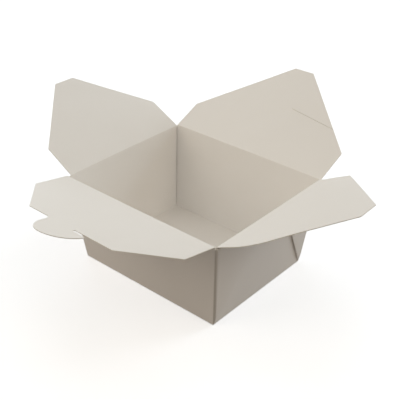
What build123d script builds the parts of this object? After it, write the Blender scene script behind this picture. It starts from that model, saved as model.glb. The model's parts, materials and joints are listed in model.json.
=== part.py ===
from build123d import *
import os
from math import asin, atan, cos, degrees, radians, sin, tan

# A folded takeout food box in coated paperboard, in millimetres.
# The origin is the centre of the underside of the base and +Z is up.
# The tab flap is at -Y, the slot flap at +Y, and the two plain side flaps at -X and +X.

# The board and the tray that it folds into. Wall sizes are over the walls, without the gussets.
board = 0.45
base_x = 112.0
base_y = 91.0
top_x = 124.0
top_y = 106.0
height = 63.5

# Clearances: each sheet end stops short of its crease line by crease_gap, the side creases lie
# lower than the tab and slot creases by crease_step, and closed flaps keep stack_gap between them.
crease_gap = 0.4
stack_gap = 0.25
crease_step = board + stack_gap
gusset_drop = 0.8
fold_radius = 1.2 * board

# The side flaps: both are cut alike, with an even inset at the ends of their crease.
side_inset = 2.4
side_shoulder = 24.5
side_reach = 69.0
side_tip = 16.0

# The slot flap, with a slit that starts inside the flap and runs out through its sloping edge.
slot_inset = 0.5
slot_shoulder = 24.0
slot_reach = 80.0
slot_tip = 15.5
slit_width = 0.5
slit_start_x = 11.0
slit_start_reach = 45.0
slit_slope = 8.5

# The tab flap: a wide far edge that carries a hooked locking tab.
tab_flap_inset = 0.5
tab_flap_shoulder = 26.0
tab_flap_reach = 50.8
tab_edge_left = 37.0
tab_edge_right = 32.0
tab_neck_left = -18.6
tab_neck_right = 2.0
tab_lobe_radius = 9.6
tab_rise = 17.2
tab_hook_tip = 12.0
tab_slit = 1.6
tab_root_radius = 2.6
tab_tip_radius = 1.0

# How far each flap stands above level at rest, in degrees, when swung outwards.
left_rest = 29.0
slot_rest = 28.0
right_rest = 23.0
tab_rest = 11.0

lean_x = atan((top_x - base_x) / 2 / height)
lean_y = atan((top_y - base_y) / 2 / height)
side_crease_z = height - crease_step


def outline_at(z, inset):
    """Length and width of the tapered tray at height z, its faces moved in by inset."""
    x = base_x + (top_x - base_x) * z / height - 2 * inset / cos(lean_x)
    y = base_y + (top_y - base_y) * z / height - 2 * inset / cos(lean_y)
    return x, y


def tapered_block(z_low, z_high, inset):
    """A solid block between two heights that follows the lean of the walls."""
    low = Pos(0, 0, z_low) * Rectangle(*outline_at(z_low, inset))
    high = Pos(0, 0, z_high) * Rectangle(*outline_at(z_high, inset))
    return loft([low, high])


def outer_edge(plate, direction, normal):
    """The edge along a direction that lies furthest out along the normal."""
    parallel = plate.edges().filter_by(Axis((0, 0, 0), direction), tolerance=1e-4)
    return max(parallel, key=lambda edge: (edge @ 0.5).dot(normal))


def gusset(side_x, side_y):
    """The doubled corner web, folded flat and glued on the outside of a side wall."""
    foot_x, foot_y = outline_at(0, 0)
    foot = Vector(side_x * foot_x / 2, side_y * foot_y / 2, 0)
    top_z = side_crease_z - gusset_drop
    head_x, head_y = outline_at(top_z, 0)
    head = Vector(side_x * head_x / 2, side_y * head_y / 2, top_z)
    # The flat web fills what the base and both walls leave of a full turn, and folds in half.
    slant_x = atan(tan(lean_y) * cos(lean_x))
    slant_y = atan(tan(lean_x) * cos(lean_y))
    half_web = (radians(90) - slant_x - slant_y) / 2
    run = (top_z / cos(lean_x)) * tan(half_web - slant_x)
    tail = Vector(head.X, foot.Y - side_y * run, top_z)
    normal = Vector(side_x * cos(lean_x), 0, -sin(lean_x))
    web = make_face(Polyline(foot, head, tail, close=True))
    plate = extrude(web, amount=2 * board, dir=normal)
    folds = [outer_edge(plate, far - foot, normal) for far in (tail, head)]
    return fillet(folds, fold_radius)


def tray():
    """The base, four walls and four glued gussets, all one folded sheet."""
    shell = tapered_block(0, height - crease_gap, 0)
    shell = fillet(shell.edges().group_by(Axis.Z)[0], fold_radius)
    shell -= tapered_block(board, height, board)
    side_end = side_crease_z - crease_gap
    between_walls = outline_at(side_end, board)[1]
    notch = Box(4 * board, between_walls, height - side_end, align=(Align.CENTER, Align.CENTER, Align.MIN))
    for side in (-1, 1):
        shell -= Pos(side * top_x / 2, 0, side_end) * notch
    for side_x in (-1, 1):
        for side_y in (-1, 1):
            shell += gusset(side_x, side_y)
    return shell


def flap_plane(out_x, out_y, crease_z, rest):
    """The middle plane of a flap: its x runs along the crease and its y away from it."""
    half = top_x / 2 if out_x else top_y / 2
    inset = board / 2 / cos(lean_x if out_x else lean_y)
    lean = tan(lean_x if out_x else lean_y) * (height - crease_z)
    line = half - inset - lean
    outward = Vector(out_x, out_y, 0)
    along = Vector(-out_y, out_x, 0)
    rise = outward * cos(radians(rest)) + Vector(0, 0, sin(radians(rest)))
    return Plane(origin=outward * line + Vector(0, 0, crease_z), x_dir=along, z_dir=along.cross(rise))


def flap_blank(width, shoulder, reach, left, right):
    """The six-sided outline of a flap, from its crease to its far edge."""
    half = width / 2
    points = [
        (-half, crease_gap),
        (half, crease_gap),
        (half, shoulder),
        (right, reach),
        (-left, reach),
        (-half, shoulder),
    ]
    return make_face(Polyline(*points, close=True))


def sheet(face, plane):
    """A board of full thickness, half on each side of its middle plane."""
    return extrude(plane * face, amount=board / 2, both=True)


def side_flap(out_x, rest):
    width = outline_at(side_crease_z, 0)[1] - 2 * side_inset
    blank = flap_blank(width, side_shoulder, side_reach, side_tip / 2, side_tip / 2)
    return sheet(blank, flap_plane(out_x, 0, side_crease_z, rest))


def slot_flap():
    """On this flap x along the crease runs towards -X, so the slit opens on the negative side."""
    width = top_x - 2 * slot_inset
    blank = flap_blank(width, slot_shoulder, slot_reach, slot_tip / 2, slot_tip / 2)
    slit = Rectangle(width, slit_width, align=(Align.MAX, Align.CENTER))
    slit += Circle(slit_width / 2)
    blank -= Pos(-slit_start_x, slit_start_reach) * Rot(0, 0, slit_slope) * slit
    return sheet(blank, flap_plane(0, 1, height, slot_rest))


def locking_tab():
    """A lobe that rises from a narrow neck and sweeps down to a hook over a slit."""
    lobe_x = tab_neck_left + tab_lobe_radius
    top = tab_flap_reach + tab_rise
    lobe_y = top - tab_lobe_radius
    hook_y = tab_flap_reach + tab_slit
    span = tab_hook_tip - lobe_x
    drop = top - hook_y - 2 * tab_tip_radius
    sweep_radius = (span**2 + drop**2) / (2 * drop)
    sweep_angle = degrees(asin(span / sweep_radius))
    root_y = tab_flap_reach - tab_slit
    lobe = CenterArc((lobe_x, lobe_y), tab_lobe_radius, 180, -90)
    sweep = CenterArc((lobe_x, top - sweep_radius), sweep_radius, 90, -sweep_angle)
    underside = Polyline(sweep @ 1, (tab_hook_tip, hook_y), (tab_neck_right, hook_y))
    neck = Polyline(underside @ 1, (tab_neck_right, root_y), (tab_neck_left, root_y), lobe @ 0)
    return make_face([lobe, sweep, underside, neck])


def tab_flap():
    width = top_x - 2 * tab_flap_inset
    blank = flap_blank(width, tab_flap_shoulder, tab_flap_reach, tab_edge_left, tab_edge_right)
    blank += locking_tab()
    root = blank.vertices().sort_by_distance((tab_neck_left, tab_flap_reach))[0]
    blank = fillet(root, tab_root_radius)
    inner = blank.vertices().sort_by_distance((tab_neck_right, tab_flap_reach))[0]
    blank = fillet(inner, tab_slit / 2 - 0.01)
    tip = blank.vertices().sort_by_distance((tab_hook_tip, tab_flap_reach + tab_slit))[0]
    blank = fillet(tip, tab_tip_radius)
    return sheet(blank, flap_plane(0, -1, height, tab_rest))


pieces = {
    "folded_tray": tray(),
    "tab_flap": tab_flap(),
    "slot_flap": slot_flap(),
    "left_side_flap": side_flap(-1, left_rest),
    "right_side_flap": side_flap(1, right_rest),
}

os.makedirs("parts", exist_ok=True)
for name, solid in pieces.items():
    export_step(solid, f"parts/{name}.step")
    print(name, round(solid.volume, 1))
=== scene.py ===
import json
import math

import bmesh
import bpy
from mathutils import Matrix, Vector, noise


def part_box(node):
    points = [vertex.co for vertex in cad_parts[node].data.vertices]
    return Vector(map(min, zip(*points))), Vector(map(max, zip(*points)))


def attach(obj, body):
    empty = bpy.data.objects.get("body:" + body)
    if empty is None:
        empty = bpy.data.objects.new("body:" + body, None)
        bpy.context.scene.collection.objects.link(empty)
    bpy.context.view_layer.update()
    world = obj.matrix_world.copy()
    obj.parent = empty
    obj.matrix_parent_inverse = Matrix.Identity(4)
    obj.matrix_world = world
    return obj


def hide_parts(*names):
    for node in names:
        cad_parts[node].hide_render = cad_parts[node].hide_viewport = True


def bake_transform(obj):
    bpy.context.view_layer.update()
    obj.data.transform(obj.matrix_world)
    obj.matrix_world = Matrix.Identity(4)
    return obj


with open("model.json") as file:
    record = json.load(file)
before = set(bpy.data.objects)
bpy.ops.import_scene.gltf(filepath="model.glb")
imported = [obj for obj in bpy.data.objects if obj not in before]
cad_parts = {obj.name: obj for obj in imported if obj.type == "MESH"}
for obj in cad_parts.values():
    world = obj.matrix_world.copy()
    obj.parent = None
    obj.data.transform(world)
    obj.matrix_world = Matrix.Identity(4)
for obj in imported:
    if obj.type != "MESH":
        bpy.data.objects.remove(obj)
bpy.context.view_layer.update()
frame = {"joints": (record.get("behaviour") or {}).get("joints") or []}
mm = 0.001
joints = {joint["child"]: joint for joint in frame["joints"]}
print("stage: frame loaded")


# Shader graphs: a Wire is a socket that takes part in plain arithmetic.
class Wire:
    def __init__(self, graph, socket):
        self.graph = graph
        self.socket = socket

    def reckon(self, operation, first, second):
        return self.graph.add("ShaderNodeMath", {"operation": operation}, {0: first, 1: second})

    def __add__(self, other):
        return self.reckon("ADD", self, other)

    def __radd__(self, other):
        return self.reckon("ADD", other, self)

    def __mul__(self, other):
        return self.reckon("MULTIPLY", self, other)

    def __rmul__(self, other):
        return self.reckon("MULTIPLY", other, self)


class Graph:
    def __init__(self, tree):
        self.tree = tree
        tree.nodes.clear()

    def add(self, kind, settings, inputs, output=0):
        node = self.tree.nodes.new(kind)
        for name, value in settings.items():
            setattr(node, name, value)
        for name, value in inputs.items():
            if isinstance(value, Wire):
                self.tree.links.new(value.socket, node.inputs[name])
            else:
                node.inputs[name].default_value = value
        return Wire(self, node.outputs[output]) if len(node.outputs) else None

    def mix(self, factor, first, second):
        return self.add("ShaderNodeMix", {"data_type": "RGBA"}, {0: factor, 6: first, 7: second}, 2)

    # Rays that should meet the plain background: to the camera, or off a glossy face.
    def backgroundRays(self):
        seen = self.add("ShaderNodeLightPath", {}, {}, "Is Camera Ray")
        for other in ("Is Glossy Ray", "Is Transmission Ray"):
            seen = seen.reckon("MAXIMUM", seen, self.add("ShaderNodeLightPath", {}, {}, other))
        return seen

    def noise(self, place, scale, detail):
        return self.add("ShaderNodeTexNoise", {}, {"Vector": place, "Scale": scale, "Detail": detail})


def newMaterial(name):
    material = bpy.data.materials.new(name)
    material.use_nodes = True
    return material, Graph(material.node_tree)


# Coated paperboard: a pale clay coat over fibres that show as soft clouds and a fine tooth.
boardFinish = {
    "printSide": {"pale": (0.89, 0.855, 0.83, 1), "deep": (0.86, 0.82, 0.785, 1),
                  "rough": 0.52, "tooth": 0.12},
    "coated": {"pale": (0.92, 0.905, 0.89, 1), "deep": (0.89, 0.87, 0.845, 1),
               "rough": 0.46, "tooth": 0.10},
    "cutEdge": {"pale": (0.90, 0.87, 0.81, 1), "deep": (0.83, 0.79, 0.72, 1),
                "rough": 0.85, "tooth": 0.35},
}
# The grain's three layers are noises, each with a scale and a detail. Tone and height are their shares.
boardGrain = {"clouds": (60, 3), "specks": (700, 4), "fibres": (2200, 3), "fibreStretch": (1.0, 0.25, 1.0),
              "tone": (0.55, 0.30, 0.15), "height": (0.6, 0.4), "bumpDepth": 0.0002, "roughSpread": 0.12,
              "ior": 1.47}
paintedCornerShade = {"colour": (0.42, 0.375, 0.33, 1), "strength": 0.6}  # painted shade: a warm dark grey laid on the webs' rounded corners, where the corner faces away from the lamps


def boardMaterial(name, finish):
    material, graph = newMaterial(name)
    place = graph.add("ShaderNodeTexCoord", {}, {}, "Object")
    clouds = graph.noise(place, *boardGrain["clouds"])
    specks = graph.noise(place, *boardGrain["specks"])
    long = graph.add("ShaderNodeMapping", {}, {"Vector": place, "Scale": boardGrain["fibreStretch"]})
    fibres = graph.noise(long, *boardGrain["fibres"])
    cloudTone, speckTone, fibreTone = boardGrain["tone"]
    tone = clouds * cloudTone + specks * speckTone + fibres * fibreTone
    clean = graph.mix(tone, finish["deep"], finish["pale"])
    # Painted shade: the webs' rounded corners are mixed toward a warm dark grey, which stands in for the
    # shade that falls there.
    paintedShade = graph.add("ShaderNodeAttribute", {"attribute_name": "paintedShadeMask"}, {}, "Fac")
    colour = graph.mix(paintedShade * paintedCornerShade["strength"], clean, paintedCornerShade["colour"])
    speckHeight, fibreHeight = boardGrain["height"]
    height = specks * speckHeight + fibres * fibreHeight
    relief = {"Strength": finish["tooth"], "Distance": boardGrain["bumpDepth"], "Height": height}
    bump = graph.add("ShaderNodeBump", {}, relief)
    spreadRough = boardGrain["roughSpread"]
    rough = finish["rough"] - spreadRough / 2 + specks * spreadRough
    values = {"Base Color": colour, "Roughness": rough, "Normal": bump, "IOR": boardGrain["ior"]}
    shader = graph.add("ShaderNodeBsdfPrincipled", {}, values)
    graph.add("ShaderNodeOutputMaterial", {}, {"Surface": shader})
    return material


boardSides = [boardMaterial(name, finish) for name, finish in boardFinish.items()]
print("stage: materials")

# The board and how it folds. Creases come from the joints, the leans from the walls.
board = {"thick": 0.45 * mm, "leanX": math.radians(5.398), "leanY": math.radians(6.736),
         "seamZ": 61.6 * mm, "edgeRound": 0.02 * mm, "sharpAngle": math.radians(50), "faceWeight": 80}
creaseX = abs(joints["right_side_flap"]["pos_m"][0])
creaseY = abs(joints["slot_flap"]["pos_m"][1])
sideCreaseZ = joints["right_side_flap"]["pos_m"][2]
lidCreaseZ = joints["slot_flap"]["pos_m"][2]


def halfX(z):  # half the distance between the side walls' middle planes
    return creaseX - math.tan(board["leanX"]) * (sideCreaseZ - z)


def halfY(z):
    return creaseY - math.tan(board["leanY"]) * (lidCreaseZ - z)


def finishPiece(name, bm, body):
    mesh = bpy.data.meshes.new(name)
    bm.to_mesh(mesh)
    bm.free()
    mesh.shade_smooth()
    piece = bpy.data.objects.new(name, mesh)
    bpy.context.scene.collection.objects.link(piece)
    for material in boardSides:
        mesh.materials.append(material)
    solid = piece.modifiers.new("boardThickness", "SOLIDIFY")
    solid.thickness = board["thick"]
    solid.offset = 0
    solid.use_even_offset = True
    solid.material_offset = 1  # the sheet's face is the print side, and its back the coated side
    solid.material_offset_rim = 2
    edge = piece.modifiers.new("cutEdge", "BEVEL")
    edge.width = board["edgeRound"]
    edge.segments = 1
    edge.limit_method = "ANGLE"
    edge.angle_limit = board["sharpAngle"]
    edge.harden_normals = True
    even = piece.modifiers.new("evenShading", "WEIGHTED_NORMAL")
    even.weight = board["faceWeight"]
    even.keep_sharp = True
    if body:
        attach(piece, body)
    return piece


# Turns a whole sheet over if this face of it looks the wrong way.
def faceOut(bm, face, outward):
    if face.normal.dot(outward) < 0:
        bmesh.ops.reverse_faces(bm, faces=bm.faces[:])


def cutLoops(bm, axis, places):
    normal = Vector((0, 0, 0))
    normal[axis] = 1
    for place in places:
        every = bm.verts[:] + bm.edges[:] + bm.faces[:]
        bmesh.ops.bisect_plane(bm, geom=every, plane_co=normal * place, plane_no=normal)


def spread(low, high, count):  # evenly spaced places between two ends, the ends left out
    return [low + (high - low) * (i + 1) / (count + 1) for i in range(count)]


# How far each wall bellies out at mid-length of its top, because the sheet is springy. The belly
# grows with height, and takes in only what lies near the wall.
bellies = {"left": 0.6 * mm, "right": 0.2 * mm, "front": 0.2 * mm, "rear": 0.2 * mm,
           "climb": 1.5, "near": 0.1}


def nearWall(place, wall):  # 1 at the wall, and 0 well inside it
    return max(0.0, min(1.0, (abs(place) / wall - (1 - bellies["near"])) / bellies["near"]))


def belly(x, y, z):
    high = max(0.0, z / lidCreaseZ) ** bellies["climb"]
    alongX = max(0.0, 1 - (x / creaseX) ** 2)
    alongY = max(0.0, 1 - (y / creaseY) ** 2)
    sideways = bellies["right"] if x > 0 else -bellies["left"]
    endways = bellies["rear"] if y > 0 else -bellies["front"]
    dx = alongY * high * nearWall(x, halfX(z)) * sideways
    dy = alongX * high * nearWall(y, halfY(z)) * endways
    return Vector((dx, dy, 0))


trayShape = {"baseFold": 0.5 * mm, "foldSegments": 4, "crevice": 0.4 * mm, "creviceFoot": 1.5 * mm,
             "levels": 12, "lengths": 16, "widths": 14, "sideFacing": 0.9}


def makeTray():
    bm = bmesh.new()
    bmesh.ops.create_cube(bm, size=2)
    for v in bm.verts:
        z = board["seamZ"] if v.co.z > 0 else board["thick"] / 2
        v.co = Vector((math.copysign(halfX(z), v.co.x), math.copysign(halfY(z), v.co.y), z))
    top = max(bm.faces, key=lambda f: f.calc_center_median().z)
    bmesh.ops.delete(bm, geom=[top], context="FACES")
    folds = [e for e in bm.edges if max(v.co.z for v in e.verts) < board["thick"]]
    bmesh.ops.bevel(bm, geom=folds, offset=trayShape["baseFold"], segments=trayShape["foldSegments"],
                    affect="EDGES", profile=0.5, material=-1)
    foot = trayShape["creviceFoot"]
    cutLoops(bm, 2, [foot] + spread(foot, board["seamZ"], trayShape["levels"]))
    cutLoops(bm, 0, spread(-halfX(0), halfX(0), trayShape["lengths"]))
    cutLoops(bm, 1, spread(-halfY(0), halfY(0), trayShape["widths"]))
    openCorners(bm)
    bm.normal_update()
    bmesh.ops.recalc_face_normals(bm, faces=bm.faces)
    faceOut(bm, min(bm.faces, key=lambda f: f.calc_center_median().z), Vector((0, 0, -1)))
    for v in bm.verts:
        v.co += belly(*v.co)
    return finishPiece("tray_board", bm, "tray")


# The side walls stop just short of the end walls, and the web turns back in the crevice.
def openCorners(bm):
    gap = board["thick"] / 2 + trayShape["crevice"]
    for side in (-1, 1):
        normal = Vector((0, side * math.cos(board["leanY"]), -math.sin(board["leanY"])))
        place = Vector((0, side * halfY(0), 0)) - normal * gap
        every = bm.verts[:] + bm.edges[:] + bm.faces[:]
        bmesh.ops.bisect_plane(bm, geom=every, plane_co=place, plane_no=normal)
        bm.normal_update()
        sides = [f for f in bm.faces if abs(f.normal.x) > trayShape["sideFacing"]]
        spare = [f for f in sides if isPast(f, place, normal)]
        bmesh.ops.delete(bm, geom=spare, context="FACES")


def isPast(face, place, normal):
    middle = face.calc_center_median()
    return (middle - place).dot(normal) > 0 and middle.z > trayShape["creviceFoot"]


tray = makeTray()
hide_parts("folded_tray")

# The corner webs: each runs on round the corner from an end wall, lies along the outside of a
# side wall, folds on a diagonal and comes back under itself. Distances are from the middle planes.
# The last entry gives, column by column from the corner, how much painted shade darkens the web's rounded
# corner.
webShape = {"foot": 0.8 * mm, "top": 61.8 * mm, "outer": 1.0 * mm, "inner": 0.5 * mm, "corner": 1.0 * mm,
            "end": 0.5 * mm, "endShare": 0.4, "taper": 4 * mm, "arcs": 6, "outers": 12, "turns": 6,
            "inners": 8, "levels": 14, "columnEase": 1.6, "levelEase": 1.5,
            "paintedShade": (0.7, 1.0, 1.0, 0.9, 0.75, 0.6, 0.45, 0.2)}
webEnds = {1: {"reach": 0.86, "spring": 0.4 * mm}, -1: {"reach": 1.05, "spring": 2.6 * mm}}  # rear, front


def webRun(z):  # how far the web reaches along the side wall at this height
    slantX = math.atan(math.tan(board["leanY"]) * math.cos(board["leanX"]))
    slantY = math.atan(math.tan(board["leanX"]) * math.cos(board["leanY"]))
    halfWeb = (math.pi / 2 - slantX - slantY) / 2
    return halfY(z) - halfY(0) + z / math.cos(board["leanX"]) * math.tan(halfWeb - slantX)


# The web's section at one height, as steps: out from the side wall, and in from the end wall.
def webPath(z, end):
    run = webRun(z) * end["reach"]
    small = min(1.0, run / webShape["taper"])
    outer, inner, corner = (webShape[key] * small for key in ("outer", "inner", "corner"))
    turn = (outer - inner) / 2
    bend = run - turn
    path = []
    for i in range(webShape["arcs"]):
        angle = math.pi / 2 * i / webShape["arcs"]
        path.append((outer - corner + corner * math.sin(angle), corner - corner * math.cos(angle)))
    for i in range(webShape["outers"]):
        eased = (i / webShape["outers"]) ** webShape["columnEase"]
        path.append((outer, corner + (bend - corner) * eased))
    for i in range(webShape["turns"]):
        angle = math.pi * i / webShape["turns"]
        path.append((inner + turn + turn * math.cos(angle), bend + turn * math.sin(angle)))
    last = min(webShape["end"], webShape["endShare"] * bend)
    path += [(inner, bend + (last - bend) * i / webShape["inners"]) for i in range(webShape["inners"] + 1)]
    high = z / webShape["top"]
    sprung = []
    for out, along in path:
        part = max(0.0, along) / run
        lift = end["spring"] * high * (1 - (1 - min(1.0, part)) ** 2)
        sprung.append((out + lift, along))
    return sprung


def makeWeb(sideX, sideY):
    columns = webShape["arcs"] + webShape["outers"] + webShape["turns"] + webShape["inners"]
    bm = bmesh.new()
    bmesh.ops.create_grid(bm, x_segments=columns, y_segments=webShape["levels"], size=0.5)
    # Each vertex carries its column's share of the painted corner shade.
    paintedShade = bm.verts.layers.float.new("paintedShadeMask")
    for v in bm.verts:
        column = round((v.co.x + 0.5) * columns)
        level = (v.co.y + 0.5) ** webShape["levelEase"]
        v[paintedShade] = webShape["paintedShade"][column] if column < len(webShape["paintedShade"]) else 0.0
        z = webShape["foot"] + (webShape["top"] - webShape["foot"]) * level
        out, along = webPath(z, webEnds[sideY])[column]
        v.co = Vector((sideX * (halfX(z) + out), sideY * (halfY(z) - along), z))
    bm.normal_update()
    outermost = max(bm.faces, key=lambda f: abs(f.calc_center_median().x))
    faceOut(bm, outermost, Vector((sideX, 0, 0)))
    for v in bm.verts:
        v.co += belly(*v.co)
    side = "right" if sideX > 0 else "left"
    end = "rear" if sideY > 0 else "front"
    finishPiece(f"corner_web_{side}_{end}", bm, "tray")


for sideX in (-1, 1):
    for sideY in (-1, 1):
        makeWeb(sideX, sideY)
print("stage: tray and webs")


# A lid flap is cut flat, in u along its crease and v away from it, and then folded at v = 0.
def arc(centre, radius, start, end, steps):
    turns = [math.radians(start + (end - start) * i / steps) for i in range(steps + 1)]
    return [(centre[0] + radius * math.cos(t), centre[1] + radius * math.sin(t)) for t in turns]


def sixSided(cut, middle=()):
    lip = cut["lip"]
    start = [(-cut["lipHalf"], -lip), (cut["lipHalf"], -lip), (cut["rootRight"], 0.0)]
    right = [cut["shoulderRight"], (cut["edgeRight"], cut["reach"])]
    left = [(-cut["edgeLeft"], cut["reach"]), cut["shoulderLeft"], (-cut["rootLeft"], 0.0)]
    return start + right + list(middle) + left


tabCut = {"neckLeft": -18.6, "neckRight": 2.0, "lobe": 9.6, "rise": 17.2, "hookTip": 12.0,
          "hookRound": 1.0, "hookInset": 0.7, "slit": 1.6, "root": 2.6}


def tabOutline(cut):  # the hooked tab, from the slit under its hook round to its left root
    reach = cut["reach"]
    top = reach + tabCut["rise"]
    lobeX, lobeY = tabCut["neckLeft"] + tabCut["lobe"], top - tabCut["lobe"]
    span = tabCut["hookTip"] - lobeX
    drop = top - reach - tabCut["slit"] - 2 * tabCut["hookRound"]
    sweep = (span**2 + drop**2) / (2 * drop)
    sweepEnd = 90 - math.degrees(math.asin(span / sweep))
    halfSlit = tabCut["slit"] / 2
    slitMiddle = reach + halfSlit
    hook = (tabCut["hookTip"] - tabCut["hookInset"], slitMiddle + halfSlit + tabCut["hookRound"])
    points = arc((tabCut["neckRight"] + halfSlit, slitMiddle), halfSlit, -90, -270, 6)
    points += arc(hook, tabCut["hookRound"], -90, 60, 5)
    points += arc((lobeX, top - sweep), sweep, sweepEnd + 2, 90, 12)
    points += arc((lobeX, lobeY), tabCut["lobe"], 90, 180, 10)[1:]
    root = (tabCut["neckLeft"] - tabCut["root"], reach + tabCut["root"])
    return points + arc(root, tabCut["root"], 0, -90, 6)


def soften(distance, width):  # zero before a line, and the distance itself well past it
    return 0.5 * (distance + math.sqrt(distance * distance + width * width))


def pastLine(u, v, a, b):  # how far a point lies beyond the line from a to b, on its left
    du, dv = b[0] - a[0], b[1] - a[1]
    return ((u - a[0]) * -dv + (v - a[1]) * du) / math.hypot(du, dv)


# A flap's lifts are angles at its two ends, and a bend is a line and the angle past it. Softened is
# the length of a rounded shoulder.
flapCuts = {
    "tab_flap": {"width": 123.0, "lipHalf": 61.6, "lip": 1.9, "rootLeft": 62.0, "rootRight": 61.5,
                 "shoulderLeft": (-61.8, 26), "shoulderRight": (61.5, 26), "edgeLeft": 37, "edgeRight": 32,
                 "reach": 50.8, "middle": tabOutline, "lifts": (0, 0), "bends": [], "softened": 0},
    "slot_flap": {"width": 123.0, "lipHalf": 61.6, "lip": 1.9, "rootLeft": 63.0, "rootRight": 61.3,
                  "shoulderLeft": (-64.2, 24), "shoulderRight": (59.9, 22.2), "edgeLeft": 7.2,
                  "edgeRight": 8.2, "reach": 79.5, "lifts": (0, 0), "bends": [], "softened": 0},
    "left_side_flap": {"width": 103.2, "lipHalf": 51.9, "lip": 1.2, "rootLeft": 52.4, "rootRight": 49.8,
                       "shoulderLeft": (-51.2, 25.7), "shoulderRight": (49.7, 24.4), "edgeLeft": 8,
                       "edgeRight": 8, "reach": 69.5, "lifts": (0, 0), "bends": [], "softened": 0},
    "right_side_flap": {"width": 103.2, "lipHalf": 51.9, "lip": 1.2, "rootLeft": 51.6, "rootRight": 53.0,
                        "shoulderLeft": (-49.8, 24.0), "shoulderRight": (54.0, 23.5), "edgeLeft": 8,
                        "edgeRight": 8, "reach": 68.6, "lifts": (0.6, 4.8),
                        "bends": [((-52, 38), (54, 23.5), -2.6)], "softened": 11},
}
slitCut = {"start": (-11.0, 45.0), "slope": 8.5, "wide": 0.25}


def cutSlit(bm):  # from a point inside the flap out through its sloping edge, on the negative side
    turn = math.radians(slitCut["slope"])
    start = Vector((slitCut["start"][0], slitCut["start"][1], 0)) * mm
    across = Vector((-math.sin(turn), math.cos(turn), 0))
    half = across * slitCut["wide"] * mm / 2
    for place, normal in ((start - half, across), (start + half, across), (start, Vector((1, 0, 0)))):
        every = bm.verts[:] + bm.edges[:] + bm.faces[:]
        bmesh.ops.bisect_plane(bm, geom=every, plane_co=place, plane_no=normal)
    spare = []
    for face in bm.faces:
        offset = face.calc_center_median() - start
        if abs(offset.dot(across)) < half.length and offset.x < 0:
            spare.append(face)
    bmesh.ops.delete(bm, geom=spare, context="FACES")


def cutFlap(name, cut):  # the flap while it is flat
    middle = cut["middle"](cut) if "middle" in cut else ()
    bm = bmesh.new()
    bm.faces.new([bm.verts.new((u * mm, v * mm, 0)) for u, v in sixSided(cut, middle)])
    if cut["softened"]:
        height = cut["shoulderLeft"][1] * mm
        shoulder = [v for v in bm.verts if v.co.x < 0 and abs(v.co.y - height) < 0.1 * mm]
        bmesh.ops.bevel(bm, geom=shoulder, offset=cut["softened"] * mm, segments=6, affect="VERTICES",
                        profile=0.5, material=-1)
    if name == "slot_flap":
        cutSlit(bm)
    return bm


# The springy board: a lift fades out past the shoulders, and a bend turns softly.
springy = {"liftReach": 28 * mm, "liftSoft": 15 * mm, "bendSoft": 5 * mm, "riseFade": 10 * mm}


def flapRise(u, s, cut):  # how far the flap stands up from its plane
    away = max(0.0, s)
    raised = [math.tan(math.radians(a)) for a in cut["lifts"]]
    raised = raised[0] + (raised[1] - raised[0]) * (u / (cut["width"] * mm) + 0.5)
    rise = raised * (away - soften(away - springy["liftReach"], springy["liftSoft"]))
    for a, b, degrees in cut["bends"]:
        past = pastLine(u, s, (a[0] * mm, a[1] * mm), (b[0] * mm, b[1] * mm))
        rise += math.tan(math.radians(degrees)) * soften(past, springy["bendSoft"])
    return rise * min(1.0, away / springy["riseFade"])


crease = {"radius": 0.6 * mm, "steps": 8, "bead": 0.05 * mm, "beadWidth": 0.7, "ripple": 0.12 * mm,
          "rippleScale": 25, "rippleFade": 20 * mm, "swellFade": 35 * mm, "across": 30, "outward": 20}


def makeFlap(name, cut):
    joint = joints[name]
    low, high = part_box(name)
    pivot = Vector(joint["pos_m"])
    outward = Vector((pivot.x, pivot.y, 0)).normalized()
    along = Vector((-outward.y, outward.x, 0))
    tip = max(abs(low.dot(outward)), abs(high.dot(outward)))
    rest = math.atan2(high.z - pivot.z, tip - pivot.dot(outward))
    lean = board["leanX"] if abs(outward.x) > 0.5 else board["leanY"]
    wallUp = outward * math.sin(lean) + Vector((0, 0, math.cos(lean)))
    turn = math.pi / 2 - lean - rest  # how far the board bends at the crease
    arcLength = crease["radius"] * turn
    tangent = crease["radius"] * math.tan(turn / 2)
    bm = cutFlap(name, cut)
    cutLoops(bm, 0, spread(-cut["width"] * mm / 2, cut["width"] * mm / 2, crease["across"]))
    cutLoops(bm, 1, [arcLength * (i / crease["steps"] - 0.5) for i in range(crease["steps"] + 1)])
    cutLoops(bm, 1, spread(arcLength, cut["reach"] * mm, crease["outward"]))
    upStart = wallUp.cross(along)
    start = pivot - wallUp * tangent
    for v in bm.verts:
        u, s = v.co.x, v.co.y
        bent = max(0.0, min(1.0, s / arcLength + 0.5)) * turn
        heading = math.pi / 2 - lean - bent
        direction = outward * math.cos(heading) + Vector((0, 0, math.sin(heading)))
        up = direction.cross(along)
        if s < -arcLength / 2:  # still on the wall
            place = start + wallUp * (s + arcLength / 2)
        else:
            place = start + (up - upStart) * crease["radius"] + direction * max(0.0, s - arcLength / 2)
        place = place + up * crease["bead"] * math.exp(-((s / (crease["beadWidth"] * arcLength)) ** 2))
        away = max(0.0, s)
        wave = Vector((u * crease["rippleScale"], s * crease["rippleScale"], len(name)))
        ripple = noise.noise(wave) * crease["ripple"] * min(1.0, away / crease["rippleFade"])
        swell = belly(*((place if s < 0 else pivot) + along * u))
        swell = swell * (1 - min(1.0, away / crease["swellFade"]))
        v.co = place + along * u + up * (flapRise(u, s, cut) + ripple) + swell
    piece = finishPiece(f"{name}_board", bm, None)
    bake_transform(piece)
    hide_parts(name)


for name, cut in flapCuts.items():
    makeFlap(name, cut)
print("stage: lid flaps")

# Floor, world and lamps.
stageSetup = {"floorSize": 6.0, "floorGap": 0.1 * mm, "paleFloor": (0.86, 0.9, 0.97, 1),
              "bounce": (0.34, 0.31, 0.28, 1), "shadeLift": 0.52, "fadeFrom": 0.3, "fadeTo": 0.9,
              "worldWarm": (1.0, 0.92, 0.79, 1), "worldStrength": 0.2, "lampAim": (0, 0, 0.05)}


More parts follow.
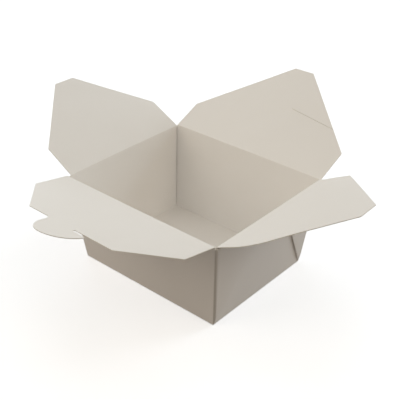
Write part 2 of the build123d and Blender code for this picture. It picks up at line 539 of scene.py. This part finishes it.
# The floor keeps the object's shadow, and fades to plain white further out.
def makeFloor():
    bm = bmesh.new()
    bmesh.ops.create_grid(bm, x_segments=1, y_segments=1, size=stageSetup["floorSize"] / 2)
    bmesh.ops.translate(bm, verts=bm.verts, vec=(0, 0, -stageSetup["floorGap"]))
    mesh = bpy.data.meshes.new("floor")
    bm.to_mesh(mesh)
    bm.free()
    floor = bpy.data.objects.new("floor", mesh)
    bpy.context.scene.collection.objects.link(floor)
    material, graph = newMaterial("paleFloor")
    seen = graph.backgroundRays()
    colour = graph.mix(seen, stageSetup["bounce"], stageSetup["paleFloor"])
    matt = graph.add("ShaderNodeBsdfDiffuse", {}, {"Color": colour})
    glow = graph.add("ShaderNodeEmission", {}, {"Strength": seen * stageSetup["shadeLift"]})
    both = graph.add("ShaderNodeAddShader", {}, {0: matt, 1: glow})
    white = graph.add("ShaderNodeEmission", {}, {"Strength": seen})
    place = graph.add("ShaderNodeTexCoord", {}, {}, "Object")
    far = graph.add("ShaderNodeVectorMath", {"operation": "LENGTH"}, {0: place}, "Value")
    band = {"Value": far, "From Min": stageSetup["fadeFrom"], "From Max": stageSetup["fadeTo"]}
    fade = graph.add("ShaderNodeMapRange", {}, band)
    seamless = graph.add("ShaderNodeMixShader", {}, {0: fade, 1: both, 2: white})
    graph.add("ShaderNodeOutputMaterial", {}, {"Surface": seamless})
    mesh.materials.append(material)


def makeWorld():
    world = bpy.data.worlds.new("studio")
    world.use_nodes = True
    bpy.context.scene.world = world
    graph = Graph(world.node_tree)
    seen = graph.backgroundRays()
    warm = {"Color": stageSetup["worldWarm"], "Strength": stageSetup["worldStrength"]}
    fill = graph.add("ShaderNodeBackground", {}, warm)
    white = graph.add("ShaderNodeBackground", {}, {"Color": (1, 1, 1, 1), "Strength": 1.0})
    shown = graph.add("ShaderNodeMixShader", {}, {0: seen, 1: fill, 2: white})
    graph.add("ShaderNodeOutputWorld", {}, {"Surface": shown})


lamps = {
    "keyLamp": {"place": (-0.36, 0.36, 0.95), "size": 0.9, "power": 1.65, "colour": (0.9, 0.97, 1.0)},
    "leftRearLamp": {"place": (-0.8, 0.4, 0.5), "size": 0.6, "power": 1.25, "colour": (0.9, 0.97, 1.0)},
    "rightRearLamp": {"place": (0.42, 0.8, 0.35), "size": 0.5, "power": 3.0, "colour": (0.9, 0.97, 1.0)},
    "rightLamp": {"place": (0.75, 0.1, 0.8), "size": 0.9, "power": 2.2, "colour": (1.0, 0.86, 0.68)},
    "leftLamp": {"place": (-0.6, -0.8, 0.62), "size": 1.1, "power": 5.0, "colour": (1.0, 0.9, 0.76)},
}


def makeLamps():
    for name, lamp in lamps.items():
        data = bpy.data.lights.new(name, "AREA")
        data.shape = "DISK"
        data.size = lamp["size"]
        data.energy = lamp["power"]
        data.color = lamp["colour"]
        light = bpy.data.objects.new(name, data)
        light.location = lamp["place"]
        aim = Vector(stageSetup["lampAim"]) - Vector(lamp["place"])
        light.rotation_euler = aim.to_track_quat("-Z", "Y").to_euler()
        bpy.context.scene.collection.objects.link(light)


cameraView = {"azimuth": 40.09, "elevation": 30.58, "roll": 0.93, "distance": 0.5478,
              "lens": 70.59, "clipStart": 0.01, "aim": (-15.0, 24.6, 30.0)}


def makeCamera():
    data = bpy.data.cameras.new("camera")
    data.lens = cameraView["lens"]
    data.clip_start = cameraView["clipStart"]
    camera = bpy.data.objects.new("camera", data)
    bpy.context.scene.collection.objects.link(camera)
    turn, tilt = math.radians(cameraView["azimuth"]), math.radians(cameraView["elevation"])
    back = Vector((math.sin(turn) * math.cos(tilt), -math.cos(turn) * math.cos(tilt), math.sin(tilt)))
    aim = Vector(cameraView["aim"]) * mm
    level = Vector((math.cos(turn), math.sin(turn), 0))
    basis = Matrix((level, back.cross(level), back)).transposed().to_4x4()
    roll = Matrix.Rotation(math.radians(cameraView["roll"]), 4, "Z")
    camera.matrix_world = Matrix.Translation(aim + back * cameraView["distance"]) @ basis @ roll
    bpy.context.scene.camera = camera


makeFloor()
makeWorld()
makeLamps()
makeCamera()
bpy.context.scene.view_settings.view_transform = "Standard"
print("stage: floor, light and camera")
